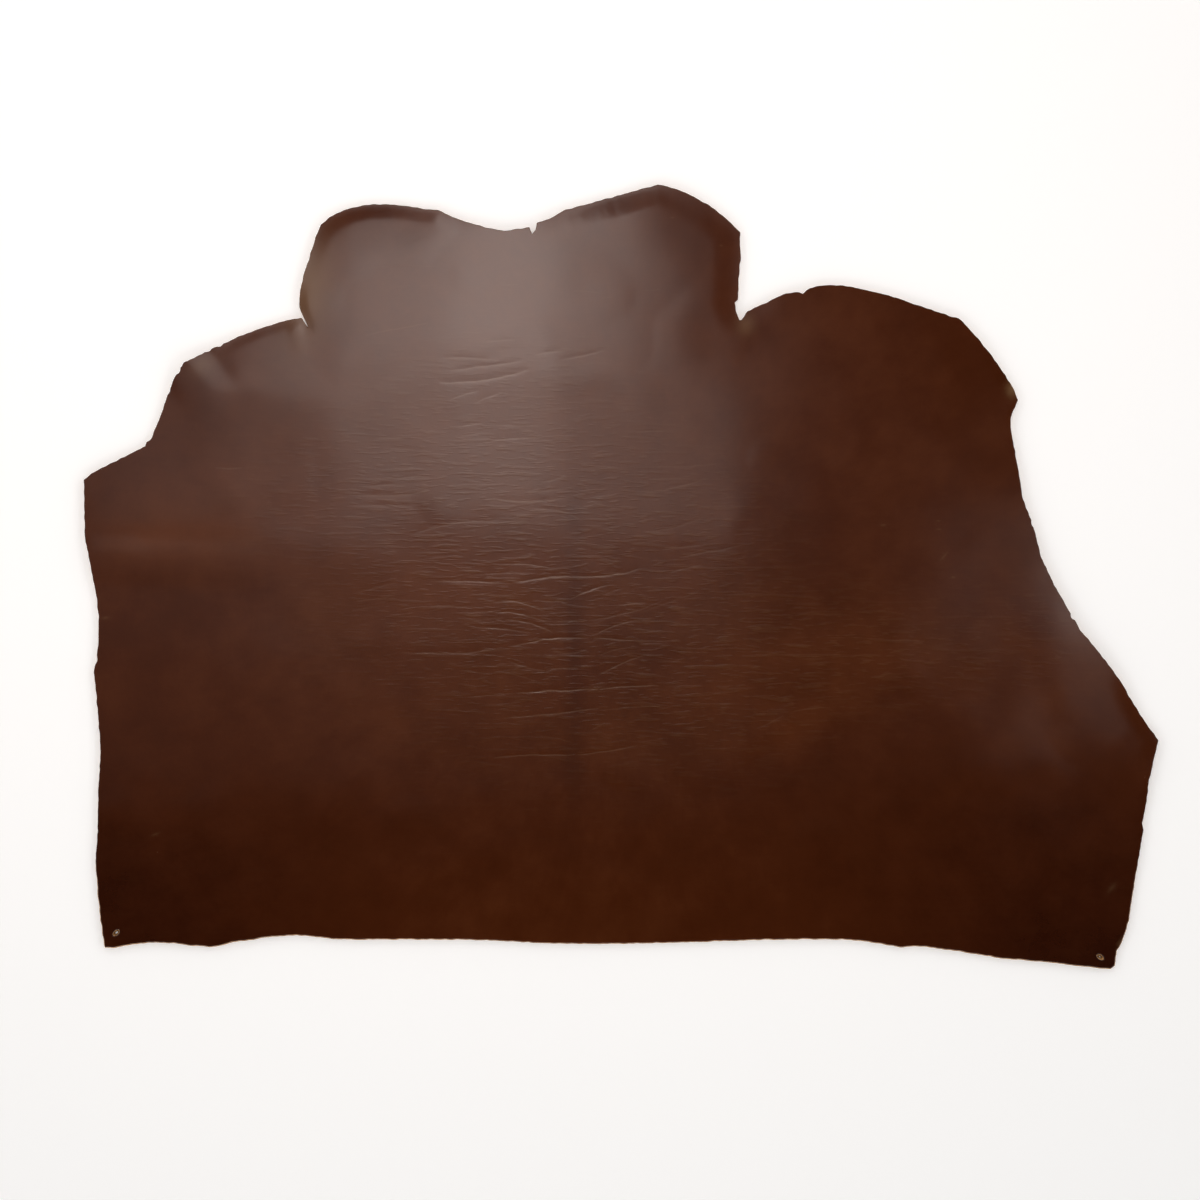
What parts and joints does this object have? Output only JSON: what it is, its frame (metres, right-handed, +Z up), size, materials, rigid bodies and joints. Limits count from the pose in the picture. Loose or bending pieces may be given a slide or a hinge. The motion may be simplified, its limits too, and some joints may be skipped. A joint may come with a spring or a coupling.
{
  "type": "piece of vegetable-tanned leather",
  "caption": "Thick brown vegetable-tanned leather shoulder lying grain side up, with a natural neck outline, a straight butt cut, neck wrinkles and a hook hole at each end of the cut.",
  "frame": {"origin": "on the surface that the hide lies on, under the middle of its outline's box", "axes": "+X to the right with the neck away from the viewer, +Y towards the neck, +Z up out of the grain side"},
  "size_m": [1.5051, 1.0982, 0.0083],
  "materials": {
    "leather": "smooth waxed grain side with a soft sheen, suede-like flesh side"
  },
  "bodies": {
    "root": {"hide": "leather"}
  },
  "joints": []
}
